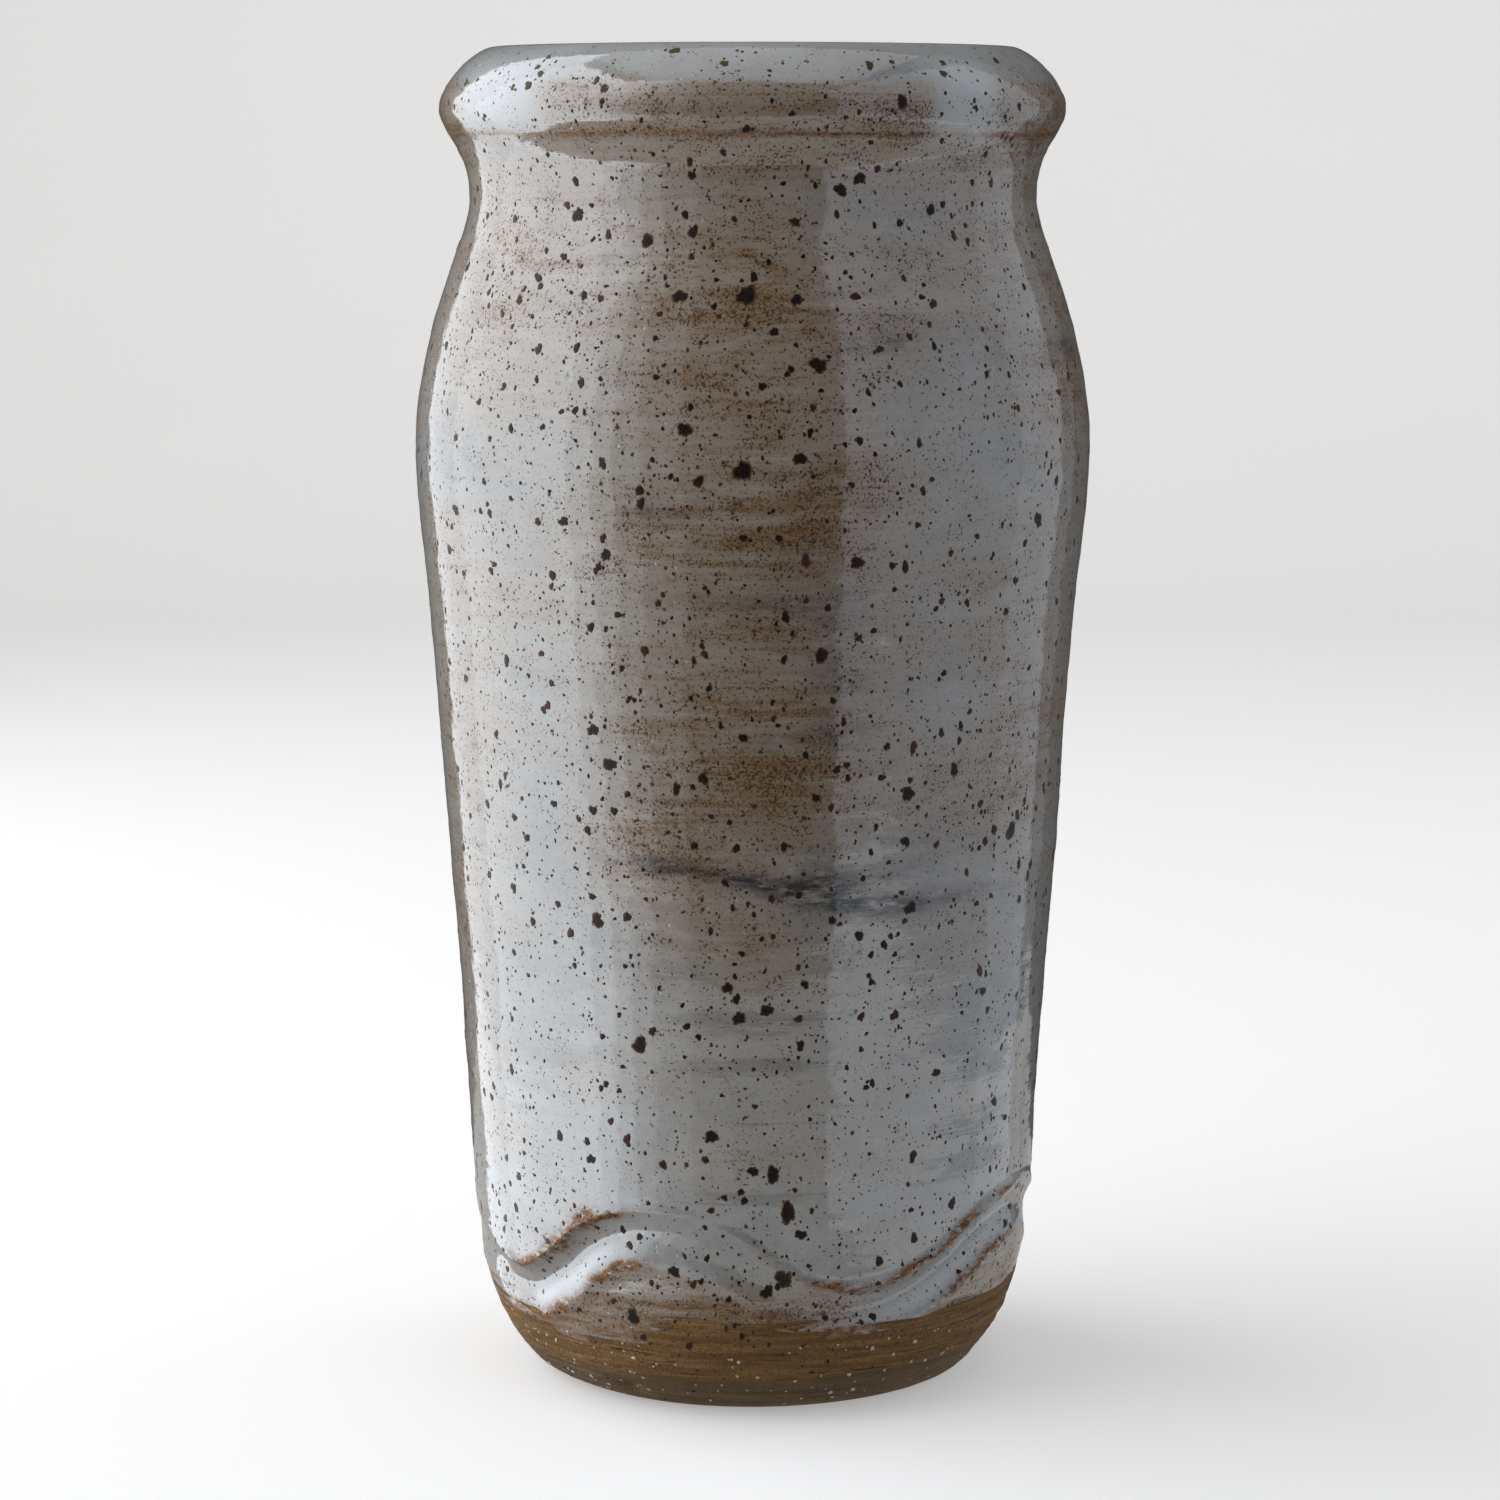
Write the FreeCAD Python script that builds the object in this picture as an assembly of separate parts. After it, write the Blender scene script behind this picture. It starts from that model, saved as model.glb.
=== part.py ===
"""Stoneware bud vase: a wheel-thrown pot with a rolled lip and a finger groove waving round its heel.

The pot is one thrown and fired lump of clay. A coat of glaze is fused over its outside down to the
glaze line, another over its inside, and iron grains melted into the outer coat show as dark spots.

Millimetres. The origin is the centre of the foot's contact ring, +Z is up the axis of the pot, and
-Y is the front. An azimuth of 0 degrees is the front, and 90 degrees is +X.
"""

import FreeCAD, Part
import math
import os
import random

Vector = FreeCAD.Vector

# Driving dimensions of the pot's visible surface.
HEIGHT = 175.0
CREST_RADIUS = 33.6
LIP_RADIUS = 40.8
LIP_HEIGHT = 167.3
NECK_RADIUS = 37.0
NECK_HEIGHT = 156.7
SHOULDER_RADIUS = 44.2
SHOULDER_HEIGHT = 125.5
HEEL_RADIUS = 36.6
HEEL_HEIGHT = 17.6
FOOT_RADIUS = 25.7
THROAT_RADIUS = 31.7
WALL = 5.2
FLOOR_THICKNESS = 7.0

# Underside, hollowed inside the contact ring.
RECESS_RADIUS = 20.0
RECESS_DEPTH = 1.6
RECESS_CHAMFER = 1.2

# Glaze coats.
GLAZE_THICKNESS = 0.4
GLAZE_LINE = 9.0

# Finger groove: the azimuth and height of each low and high turn of its centreline, once round.
GROOVE_TURNS = [
    (-108, 25.0),
    (-55, 14.6),
    (-17, 25.8),
    (24, 14.6),
    (71, 24.0),
    (114, 15.2),
    (160, 25.4),
    (206, 14.8),
]
GROOVE_STEPS_PER_TURN = 4
GROOVE_WIDTH = 6.4
GROOVE_DEPTH = 1.2

# Iron spots: the azimuth, height and radius of the largest ones at the front, then a seeded scatter.
FRONT_SPOTS = [
    (-20, 151, 1.0),
    (17, 157, 0.9),
    (-13, 144, 1.1),
    (-1, 144, 1.35),
    (11, 136, 1.15),
    (-11, 128, 1.0),
    (-2, 123, 1.3),
    (8, 125, 0.9),
    (9, 112, 0.8),
    (17, 112, 0.9),
    (12, 100, 1.0),
    (-28, 90, 0.9),
    (-26, 86, 0.9),
    (28, 82, 0.9),
    (54, 76, 1.0),
    (30, 68, 0.9),
    (-29, 66, 1.0),
    (3, 55, 0.9),
    (-21, 50, 1.0),
    (-8, 39, 0.9),
    (4, 34, 1.0),
    (7, 29, 1.1),
    (9, 26, 0.9),
]
SCATTERED_SPOTS = 34
SCATTER_RADIUS = (0.8, 1.3)
SCATTER_HEIGHT = (32.0, 160.0)
FRONT_HALF_ANGLE = 70
SPOT_DEPTH = 0.3
SPOT_HEIGHT = 0.16
SPOT_SIDES = 9
SPOT_TOP = 0.6
SCATTER_SEED = 7

OUTER_LINE = [
    (FOOT_RADIUS, 0.0),
    (28.5, 0.8),
    (30.8, 2.7),
    (33.0, 5.7),
    (35.3, 11.3),
    (HEEL_RADIUS, HEEL_HEIGHT),
    (37.9, 35.5),
    (39.3, 56.0),
    (41.2, 83.0),
    (43.2, 108.0),
    (SHOULDER_RADIUS, SHOULDER_HEIGHT),
    (42.7, 136.0),
    (39.2, 147.6),
    (NECK_RADIUS, NECK_HEIGHT),
    (38.4, 161.8),
    (LIP_RADIUS, LIP_HEIGHT),
    (39.2, 171.0),
    (36.8, 173.5),
    (34.9, 174.7),
]
INNER_LINE = [
    (32.6, 174.5),
    (THROAT_RADIUS + 0.1, 172.2),
    (THROAT_RADIUS, 168.0),
    (NECK_RADIUS - WALL, NECK_HEIGHT),
    (39.2 - WALL, 147.6),
    (42.7 - WALL, 136.0),
    (SHOULDER_RADIUS - WALL, SHOULDER_HEIGHT),
    (43.2 - WALL, 108.0),
    (41.2 - WALL, 83.0),
    (39.3 - WALL, 56.0),
    (37.9 - WALL, 35.5),
    (30.6, 20.0),
    (24.0, FLOOR_THICKNESS + 3.2),
    (14.0, FLOOR_THICKNESS + 0.6),
    (7.0, FLOOR_THICKNESS + 0.1),
]
OFFSET_SAMPLES = 90
TOUCHING = 1e-6
HALVINGS = 50
FACES_PER_OUTLINE = 12


def flat(radius, height):
    """A point of the pot's outline, in the half plane that is turned about Z."""
    return Vector(radius, 0.0, height)


def skin_line():
    """The visible outline as one smooth curve: up the outside, over the crest and down to the floor."""
    outline = OUTER_LINE + [(CREST_RADIUS, HEIGHT)] + INNER_LINE + [(0.0, FLOOR_THICKNESS)]
    curve = Part.BSplineCurve()
    curve.interpolate([flat(*p) for p in outline])
    return curve


def inward_normal(curve, parameter):
    """The unit normal of the outline that points into the clay."""
    tangent = curve.tangent(parameter)[0]
    return flat(-tangent.z, tangent.x)


def inset_line(skin, depth):
    """The visible outline moved a depth into the clay."""
    first, last = skin.FirstParameter, skin.LastParameter
    points = []
    for i in range(OFFSET_SAMPLES + 1):
        parameter = first + (last - first) * i / OFFSET_SAMPLES
        points.append(skin.value(parameter) + inward_normal(skin, parameter) * depth)
    points[0].z = 0.0
    points[-1].x = 0.0
    curve = Part.BSplineCurve()
    curve.interpolate(points)
    return curve


def under(skin, parameters, line, depth):
    """The parameters on an inset line that lie under places on the skin."""
    places = []
    for parameter in parameters:
        point = skin.value(parameter) + inward_normal(skin, parameter) * depth
        places.append(line.parameter(point))
    return tuple(places)


def pieces(curve, start, end, count):
    """The stretch of a curve between two parameters, as a chain of equal edges."""
    edges = []
    for i in range(count):
        part = curve.copy()
        part.segment(start + (end - start) * i / count, start + (end - start) * (i + 1) / count)
        edges.append(part.toShape())
    return edges


def turned(edges):
    """The solid that a closed outline of edges sweeps when it is turned about Z."""
    face = Part.Face(Part.Wire(Part.__sortEdges__(edges)))
    solid = face.revolve(Vector(0, 0, 0), Vector(0, 0, 1), 360)
    if solid.Volume < 0:
        solid.reverse()
    return solid


def polyline(points):
    """Straight edges from point to point."""
    return [Part.makeLine(a, b) for a, b in zip(points, points[1:])]


def clay_solid(clay):
    """The fired clay pot, with its hollowed underside."""
    first, last = clay.FirstParameter, clay.LastParameter
    foot = clay.value(first)
    floor = clay.value(last)
    underside = [
        floor,
        flat(0.0, RECESS_DEPTH),
        flat(RECESS_RADIUS - RECESS_CHAMFER, RECESS_DEPTH),
        flat(RECESS_RADIUS, 0.0),
        foot,
    ]
    return turned(pieces(clay, first, last, 2 * FACES_PER_OUTLINE) + polyline(underside))


def band_solid(outer, inner, outer_range, inner_range):
    """The solid between two outlines, over a stretch of each."""
    edges = pieces(outer, *outer_range, FACES_PER_OUTLINE)
    edges += pieces(inner, *inner_range, FACES_PER_OUTLINE)
    for outer_at, inner_at in zip(outer_range, inner_range):
        start, end = outer.value(outer_at), inner.value(inner_at)
        if start.distanceToPoint(end) > TOUCHING:
            edges.append(Part.makeLine(start, end))
    return turned(edges)


def outside_at(skin, height):
    """The outline's parameter on the outside of the pot at a height, found by halving."""
    first = skin.FirstParameter
    last = skin.parameter(flat(CREST_RADIUS, HEIGHT))
    for _ in range(HALVINGS):
        middle = (first + last) / 2
        if skin.value(middle).z < height:
            first = middle
        else:
            last = middle
    return first


def around(azimuth, radius, height):
    """A point at an azimuth in degrees, measured from the front towards +X."""
    angle = math.radians(azimuth)
    return Vector(radius * math.sin(angle), -radius * math.cos(angle), height)


def groove_path(skin, standoff):
    """The closed curve that the middle of the groove's tube follows, outside the pot's skin."""
    points = []
    turns = GROOVE_TURNS + [(GROOVE_TURNS[0][0] + 360, GROOVE_TURNS[0][1])]
    for (azimuth_a, height_a), (azimuth_b, height_b) in zip(turns, turns[1:]):
        for i in range(GROOVE_STEPS_PER_TURN):
            t = i / GROOVE_STEPS_PER_TURN
            ease = (1 - math.cos(math.pi * t)) / 2
            height = height_a + (height_b - height_a) * ease
            azimuth = azimuth_a + (azimuth_b - azimuth_a) * t
            parameter = outside_at(skin, height)
            point = skin.value(parameter) - inward_normal(skin, parameter) * standoff
            points.append(around(azimuth, point.x, point.z))
    path = Part.BSplineCurve()
    path.interpolate(Points=points, PeriodicFlag=True)
    return path


def groove_tool(skin, extra):
    """The waving tube that cuts the groove, in two half turns, with extra added to its radius."""
    radius = (GROOVE_WIDTH**2 / 4 + GROOVE_DEPTH**2) / (2 * GROOVE_DEPTH)
    path = groove_path(skin, radius - GROOVE_DEPTH)
    first, last = path.FirstParameter, path.LastParameter
    middle = (first + last) / 2
    halves = []
    for start, end in ((first, middle), (middle, last)):
        half = path.copy()
        half.segment(start, end)
        circle = Part.makeCircle(radius + extra, path.value(start), path.tangent(start)[0])
        halves.append(Part.Wire([half.toShape()]).makePipeShell([Part.Wire([circle])], True, False))
    return halves[0].fuse(halves[1])


def spot_places():
    """The azimuth, height and radius of every iron spot."""
    scatter = random.Random(SCATTER_SEED)
    places = list(FRONT_SPOTS)
    while len(places) < len(FRONT_SPOTS) + SCATTERED_SPOTS:
        azimuth = scatter.uniform(FRONT_HALF_ANGLE, 360 - FRONT_HALF_ANGLE)
        place = (azimuth, scatter.uniform(*SCATTER_HEIGHT), scatter.uniform(*SCATTER_RADIUS))
        if all(apart(place, other) for other in places):
            places.append(place)
    return places


def apart(place, other):
    """True if two spots leave a gap between them."""
    a = around(place[0], SHOULDER_RADIUS, place[1])
    b = around(other[0], SHOULDER_RADIUS, other[1])
    return a.distanceToPoint(b) > 2 * (place[2] + other[2])


def spot_outline(radius, depth):
    """A spot's many-sided outline, facing +X, at a depth below the glaze's surface."""
    points = []
    for i in range(SPOT_SIDES + 1):
        angle = 2 * math.pi * i / SPOT_SIDES
        points.append(Vector(-depth, radius * math.cos(angle), radius * math.sin(angle)))
    return Part.makePolygon(points)


def iron_spots(skin):
    """The melted iron grains: a plug through most of the glaze at each place, with a low bevelled top."""
    grains = []
    for azimuth, height, radius in spot_places():
        outlines = [
            spot_outline(radius, SPOT_DEPTH),
            spot_outline(radius, 0.0),
            spot_outline(radius * SPOT_TOP, -SPOT_HEIGHT),
        ]
        grain = Part.makeLoft(outlines, True, True)
        parameter = outside_at(skin, height)
        outward = -inward_normal(skin, parameter)
        grain.rotate(Vector(0, 0, 0), Vector(0, -1, 0), math.degrees(math.atan2(outward.z, outward.x)))
        grain.translate(skin.value(parameter))
        # The outline lies along +X, which is an azimuth of 90 degrees.
        grain.rotate(Vector(0, 0, 0), Vector(0, 0, 1), azimuth - 90)
        grains.append(grain)
    return Part.makeCompound(grains)


def main():
    os.makedirs("parts", exist_ok=True)
    skin = skin_line()
    clay = inset_line(skin, GLAZE_THICKNESS)
    core = inset_line(skin, WALL / 2)
    outside = (outside_at(skin, GLAZE_LINE), skin.parameter(flat(CREST_RADIUS, HEIGHT)))
    inside = (outside[1], skin.LastParameter)
    clay_inside = (*under(skin, inside[:1], clay, GLAZE_THICKNESS), clay.LastParameter)
    core_outside = under(skin, outside, core, WALL / 2)

    body = clay_solid(clay).cut(groove_tool(skin, GLAZE_THICKNESS))
    # The coat follows the clay down into the groove.
    outer_band = band_solid(skin, core, outside, core_outside)
    spots = iron_spots(skin)
    nodes = {
        "stoneware_body": body,
        "outer_glaze": outer_band.cut(groove_tool(skin, 0.0)).cut(body).cut(spots),
        "liner_glaze": band_solid(skin, clay, inside, clay_inside),
        "iron_spots": spots,
    }
    for name, shape in nodes.items():
        print(name, "solids", len(shape.Solids), "valid", shape.isValid(), "mm3", round(shape.Volume))
        shape.exportStep(f"parts/{name}.step")


main()
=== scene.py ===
"""Looks of the stoneware vase: its speckled glaze, finger groove, melted iron spots and toasted foot.

Lengths in the tables below are millimetres and azimuths are degrees, 0 at the front (-Y) and 90 at +X,
as in the CAD. MM turns a length into the frame's metres.
"""

import math

import bpy
import numpy as np
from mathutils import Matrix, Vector


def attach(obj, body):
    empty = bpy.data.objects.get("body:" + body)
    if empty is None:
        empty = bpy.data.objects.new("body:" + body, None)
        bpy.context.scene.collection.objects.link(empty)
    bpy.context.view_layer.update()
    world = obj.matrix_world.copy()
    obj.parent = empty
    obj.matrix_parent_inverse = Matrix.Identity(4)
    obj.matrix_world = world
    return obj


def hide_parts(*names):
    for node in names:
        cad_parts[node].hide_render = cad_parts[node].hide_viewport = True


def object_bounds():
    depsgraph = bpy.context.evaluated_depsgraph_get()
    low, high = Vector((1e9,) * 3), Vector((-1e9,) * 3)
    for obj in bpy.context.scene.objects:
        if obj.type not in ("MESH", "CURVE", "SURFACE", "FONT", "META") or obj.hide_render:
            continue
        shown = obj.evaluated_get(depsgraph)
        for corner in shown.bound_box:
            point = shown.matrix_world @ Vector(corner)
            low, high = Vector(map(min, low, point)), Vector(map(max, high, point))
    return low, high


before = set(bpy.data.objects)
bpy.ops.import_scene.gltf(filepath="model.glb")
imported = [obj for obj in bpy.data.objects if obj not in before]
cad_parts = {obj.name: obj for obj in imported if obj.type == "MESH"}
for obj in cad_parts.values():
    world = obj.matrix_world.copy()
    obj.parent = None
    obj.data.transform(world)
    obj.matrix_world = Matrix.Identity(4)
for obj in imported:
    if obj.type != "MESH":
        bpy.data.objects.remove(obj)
cad_low, cad_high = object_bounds()

HEIGHT = 175.0
MM = (cad_high.z - cad_low.z) / HEIGHT

# The pot's outline as (radius, height): up the outside, over the crest, down the inside to the floor.
OUTSIDE = [
    (25.7, 0.0), (28.2, 0.8), (30.5, 2.7), (32.7, 5.7), (35.2, 11.3), (36.6, 17.6), (37.9, 35.5),
    (39.3, 56.0), (41.2, 83.0), (43.2, 108.0), (44.2, 125.5), (42.7, 136.0), (39.2, 147.6), (37.0, 156.7),
    (38.4, 161.8), (40.8, 167.3), (39.2, 171.0), (36.8, 173.5), (34.9, 174.7),
]
CREST = (33.6, 175.0)
INSIDE = [
    (32.6, 174.5), (31.8, 172.2), (31.7, 168.0), (31.8, 156.7), (34.0, 147.6), (37.5, 136.0), (39.0, 125.5),
    (38.0, 108.0), (36.0, 83.0), (34.1, 56.0), (32.7, 35.5), (30.6, 20.0), (24.0, 10.2), (14.0, 7.6),
    (7.0, 7.1), (0.02, 7.0),
]
RECESS = [(0.02, 1.6), (4.0, 1.6), (9.0, 1.6), (18.0, 1.6), (18.9, 1.3), (19.6, 0.5), (20.3, 0.03), (22.0, 0.0)]

# Mesh rows: where their pitch changes, as heights, and the pitches of the rows that show.
COLUMNS = 312
GROOVE_END = 30
NECK_HEIGHT = 156
LIP_START = 160
THROAT_HEIGHT = 150
CREST_RUN = 3
FINE_PITCH = 0.38
BODY_PITCH = 0.95
LAP_PITCH = 0.9
CLAY_PITCH = 0.32
LINER_PITCH = 1.1

# The outer coat: the height it starts at, the height its lap inside the mouth ends at, its thickness, its
# clearance on the hidden side, and how far each end is tucked under the skin beside it. The liner starts a
# little above the lap's end.
COAT_END = 9.0
COAT_LAP = 165.0
COAT_THICKNESS = 0.35
COAT_GAP = 0.02
TUCK = 0.15
LINER_RISE = 2.0

# Finger groove: the height of its middle at each azimuth, and how deep it is there.
GROOVE_LINE = [
    (-108, 23.5), (-74, 17.0), (-55, 14.6), (-43, 18.0), (-34, 22.3), (-25, 24.6), (-15, 24.6), (-5, 22.0),
    (3, 18.6), (10, 16.0), (20, 14.8), (30, 15.4), (40, 17.6), (50, 21.0), (60, 23.4), (72, 24.0),
    (92, 19.5), (114, 15.2), (138, 20.5), (160, 25.0), (182, 20.0), (206, 14.8), (230, 19.0),
]
GROOVE_DEPTHS = [
    (-108, 0.5), (-76, 0.2), (-67, 0.25), (-57, 1.05), (-43, 1.6), (-34, 1.5), (-25, 0.9), (-15, 0.35), (-5, 0.45),
    (3, 0.75), (10, 0.95), (20, 1.1), (30, 1.25), (40, 1.4), (50, 1.5), (60, 1.2), (72, 0.7),
    (92, 0.8), (114, 1.2), (138, 1.4), (160, 0.6), (182, 0.8), (206, 1.2), (230, 1.4),
]
GROOVE_HALF_WIDTH = 3.2
HEEL_RADIUS = 36.6
CHIP_AZIMUTH = -31.5
RIDGE_HEIGHT = 163.9

# Where the glaze stops, with toasted ochre clay below it and plain clay below that.
GLAZE_END = [
    (-90, 11.0), (-73, 11.2), (-62, 10.4), (-51, 10.3), (-46, 8.4), (-35, 9.0), (-25, 9.2), (-15, 12.6),
    (-3, 13.2), (6, 13.6), (16, 11.8), (28, 11.3), (38, 11.6), (47, 11.5), (62, 11.8), (70, 12.6),
    (90, 11.0), (115, 9.4), (140, 10.6), (165, 13.0), (190, 11.4), (215, 9.6), (240, 12.4), (258, 12.0),
]
TOAST_END = 5.6

# Thin, brown places in the glaze: azimuth, height, half width in degrees, half height, strength.
THIN_PLACES = [
    (9, 15.0, 13, 2.8, 1.7), (-8, 15.5, 6, 3.0, 1.2), (-3, 104, 30, 42, 0.42), (70, 118, 26, 34, 0.25),
    (-60, 142, 26, 14, 0.3),
    (-2, 144, 24, 10, 1.0), (-2, 126, 20, 8, 0.45), (-3, 115, 24, 7, 0.7), (14, 119, 10, 7, 0.8),
    (-4, 100, 20, 7, 0.4), (-2, 86, 22, 11, 0.9), (8, 83, 12, 5, 0.5), (-14, 74, 16, 6, 0.5),
    (-3, 62, 18, 8, 0.35), (-44, 150, 22, 8, 0.75), (-48, 135, 16, 7, 0.4), (-40, 105, 20, 7, 0.3),
    (68, 132, 16, 8, 0.9), (60, 152, 22, 8, 0.6), (48, 104, 14, 7, 0.55), (46, 82, 16, 6, 0.75),
    (62, 88, 12, 9, 0.6), (30, 145, 16, 7, 0.45), (-62, 96, 12, 22, 0.5), (-70, 60, 12, 26, 0.4),
    (104, 142, 26, 9, 0.8), (128, 96, 24, 12, 0.8), (158, 118, 26, 8, 0.6), (188, 146, 30, 9, 0.9),
    (196, 84, 24, 12, 0.8), (226, 112, 26, 9, 0.6), (244, 150, 20, 8, 0.7), (252, 70, 20, 10, 0.6),
    (168, 58, 24, 9, 0.6), (96, 62, 20, 9, 0.5),
]
# Thick, white places in the glaze: azimuth, height, half width in degrees, half height.
THICK_PLACES = [(42, 167.5, 9, 5.5), (-52, 168.5, 13, 4.0), (150, 167.5, 12, 5.0), (236, 168.0, 10, 5.0)]
# Blue-grey smears: azimuth, height, half width in degrees, half height, slope in mm per degree, strength.
SMEARS = [
    (4, 71.2, 17, 1.1, -0.12, 1.5), (-14, 73.0, 12, 0.8, -0.08, 1.0), (16, 69.2, 9, 1.9, -0.1, 1.3),
    (36, 68.2, 18, 1.0, 0.0, 0.6), (14, 70.2, 9, 3.2, 0.0, 0.7), (22, 138.4, 8, 0.9, 0.08, 0.75),
    (44, 137.0, 22, 2.4, 0.0, 0.3),
    (70, 137.5, 9, 1.6, -0.1, 0.9), (9, 90.2, 13, 1.1, 0.03, 0.5), (-17, 118.0, 8, 1.6, 0.05, 0.45),
    (11, 106.5, 9, 6.0, 0.0, 0.45), (16, 96.0, 6, 8.0, 0.0, 0.4), (-2, 107.0, 18, 1.4, 0.0, 0.35),
    (26, 75.0, 22, 6.0, 0.0, 0.25), (-56, 123.0, 12, 4.0, 0.0, 0.35), (130, 76.0, 28, 1.5, -0.08, 0.9),
    (200, 128.0, 26, 1.6, 0.06, 0.7), (238, 90.0, 20, 1.8, -0.05, 0.7), (170, 98.0, 20, 3.0, 0.0, 0.4),
]

# The largest iron spots at the front: azimuth, height, radius.
FRONT_SPOTS = [
    (-12.8, 144.1, 1.0), (-1.0, 144.3, 1.35), (7.5, 143.7, 0.72), (3.6, 139.9, 0.62), (10.8, 135.9, 1.1),
    (16.9, 157.0, 0.88), (20.6, 158.4, 0.76), (8.0, 153.1, 0.72), (-11.1, 151.9, 0.72), (-19.8, 150.8, 0.95),
    (26.6, 167.7, 0.84), (-26.8, 169.3, 0.62), (-35.6, 153.9, 0.82), (-45.5, 143.3, 0.62), (-15.9, 134.4, 0.46),
    (36.5, 154.5, 0.66), (-11.5, 158.8, 0.52), (-15.2, 173.9, 0.7), (-10.9, 128.1, 0.95), (-1.6, 123.2, 1.25),
    (-8.6, 121.8, 0.74), (7.5, 124.6, 0.86), (-18.1, 119.0, 0.62), (8.6, 112.1, 0.74), (17.1, 111.7, 0.86),
    (5.4, 105.1, 0.62), (11.6, 100.2, 1.0), (-24.5, 112.5, 0.64), (-59.0, 116.6, 0.75), (55.4, 115.5, 0.82),
    (-28.4, 90.3, 0.84), (-25.5, 86.1, 0.88), (-1.6, 90.0, 0.6), (-32.1, 116.4, 0.74), (-8.5, 84.8, 0.74),
    (-13.2, 83.4, 0.62), (11.0, 82.3, 0.55), (14.6, 85.8, 0.52), (28.1, 82.2, 0.86), (37.8, 84.7, 0.72),
    (28.0, 76.1, 0.76), (54.1, 75.5, 0.98), (29.6, 67.5, 0.9), (5.5, 76.2, 0.52), (8.2, 70.0, 0.55),
    (-29.2, 65.9, 0.95), (-30.1, 68.9, 0.52), (-4.6, 58.1, 0.72), (2.5, 55.2, 0.84), (-2.5, 54.2, 0.82),
    (-21.4, 50.2, 0.96), (20.4, 53.9, 0.54), (62.6, 70.2, 0.6), (24.5, 63.0, 0.54), (48.9, 55.0, 0.6),
    (55.4, 39.6, 0.72), (37.5, 45.4, 0.6), (-7.9, 38.7, 0.84), (3.9, 33.8, 0.95), (0.1, 34.2, 0.74),
    (6.8, 28.8, 1.05), (9.4, 25.8, 0.82), (6.1, 19.9, 1.12), (2.9, 18.1, 0.86), (5.2, 18.8, 0.5),
    (-25.2, 14.0, 1.0), (-15.6, 20.7, 0.74), (-33.0, 34.4, 0.72), (-1.6, 30.4, 0.46), (-17.4, 34.7, 0.6),
    (32.8, 34.7, 0.6), (25.9, 21.4, 0.68), (43.2, 27.5, 0.7),
]

# Noise layers: seed, cells round the pot, pitch of the cells in height, depth or strength.
RING_LAYERS = [(1, 5, 3.1, 0.05), (2, 9, 1.3, 0.035), (3, 3, 11.0, 0.10)]
DENT_LAYERS = [(4, 11, 14.0, 0.10), (5, 60, 4.0, 0.03)]
LIP_LINE_LAYERS = [(6, 4, 0.7, 0.05)]
DRAG_LAYERS = [(9, 7, 0.55, 0.10), (10, 16, 0.9, 0.08), (11, 110, 0.8, 0.07)]
STREAK_LAYERS = [(21, 8, 0.9, 0.6), (22, 22, 0.5, 0.4)]
RAGGED_LAYERS = [(29, 90, 1.6, 0.35), (30, 200, 0.8, 0.2)]
SHRED_LAYERS = [(32, 11, 0.6, 2.2), (33, 34, 0.45, 1.1)]

# Bands of height where one kind of surface gives way to the next; the first number is where it starts.
LIP_BAND = (158, 164)
LIP_LINES_END = (171.5, 169)
FACE_START = (162.5, 164)
FACE_END = (171.0, 169.2)
CREST_BAND = (174.0, 169.5)
CREST_POOL = (169, 173)
WAVE_BAND = (27, 22)
CLAY_BAND = (13, 8)
EDGE_BAND = (0.0, 1.2)
BEVEL_BAND = (1.9, 0.2)
CONTACT_BAND = (0.0, 1.4)
UNDER_LIP_HEIGHT = 161.5

# Relief: the lip's ridge, the groove's valley and rims as shares of its depth, and the chip in the foot.
RIDGE_RISE = 0.05
GROOVE_SKEW = 0.5
GROOVE_SHARE = 0.9
UPPER_RIM_SHARE = 0.32
LOWER_RIM_SHARE = 0.22
CHIP_HEIGHT = 2.6
CHIP_DEPTH = 0.9
CHIP_STEP = 0.35

# How many spots of each size, their radii and the heights they lie between.
LARGE_SPOTS_BEHIND = 120
MEDIUM_SPOTS = 2200
SMALL_SPOTS = 7000
GRAINS = 260
LARGE_RADII, LARGE_HEIGHTS = (0.55, 1.2), (12, 172)
MEDIUM_RADII, MEDIUM_HEIGHTS = (0.24, 0.6), (10, 173.5)
SMALL_RADII, SMALL_HEIGHTS = (0.11, 0.26), (9, 174)
GRAIN_RADII, GRAIN_HEIGHTS = (0.15, 0.38), (0.9, 10.5)
SEED = 41


def smooth(low, high, x):
    """0 below low, 1 above high, and a smooth step between."""
    t = np.clip((x - low) / (high - low), 0.0, 1.0)
    return t * t * (3 - 2 * t)


def turn_from(centre, azimuth):
    """Degrees from one azimuth round to others, from -180 to 180."""
    return (azimuth - centre + 180) % 360 - 180


def around_table(table, azimuth):
    """A smooth periodic curve through (azimuth, value) pairs."""
    knots = sorted((a % 360, v) for a, v in table)
    a = np.array([k[0] for k in knots])
    v = np.array([k[1] for k in knots])
    a = np.concatenate([a[-2:] - 360, a, a[:3] + 360])
    v = np.concatenate([v[-2:], v, v[:3]])
    x = np.mod(azimuth, 360)
    i = np.clip(np.searchsorted(a, x, side="right") - 1, 1, len(a) - 3)
    t = (x - a[i]) / (a[i + 1] - a[i])
    slope_0 = (v[i + 1] - v[i - 1]) / (a[i + 1] - a[i - 1]) * (a[i + 1] - a[i])
    slope_1 = (v[i + 2] - v[i]) / (a[i + 2] - a[i]) * (a[i + 1] - a[i])
    t2, t3 = t * t, t * t * t
    return (
        (2 * t3 - 3 * t2 + 1) * v[i] + (t3 - 2 * t2 + t) * slope_0
        + (3 * t2 - 2 * t3) * v[i + 1] + (t3 - t2) * slope_1
    )


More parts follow.
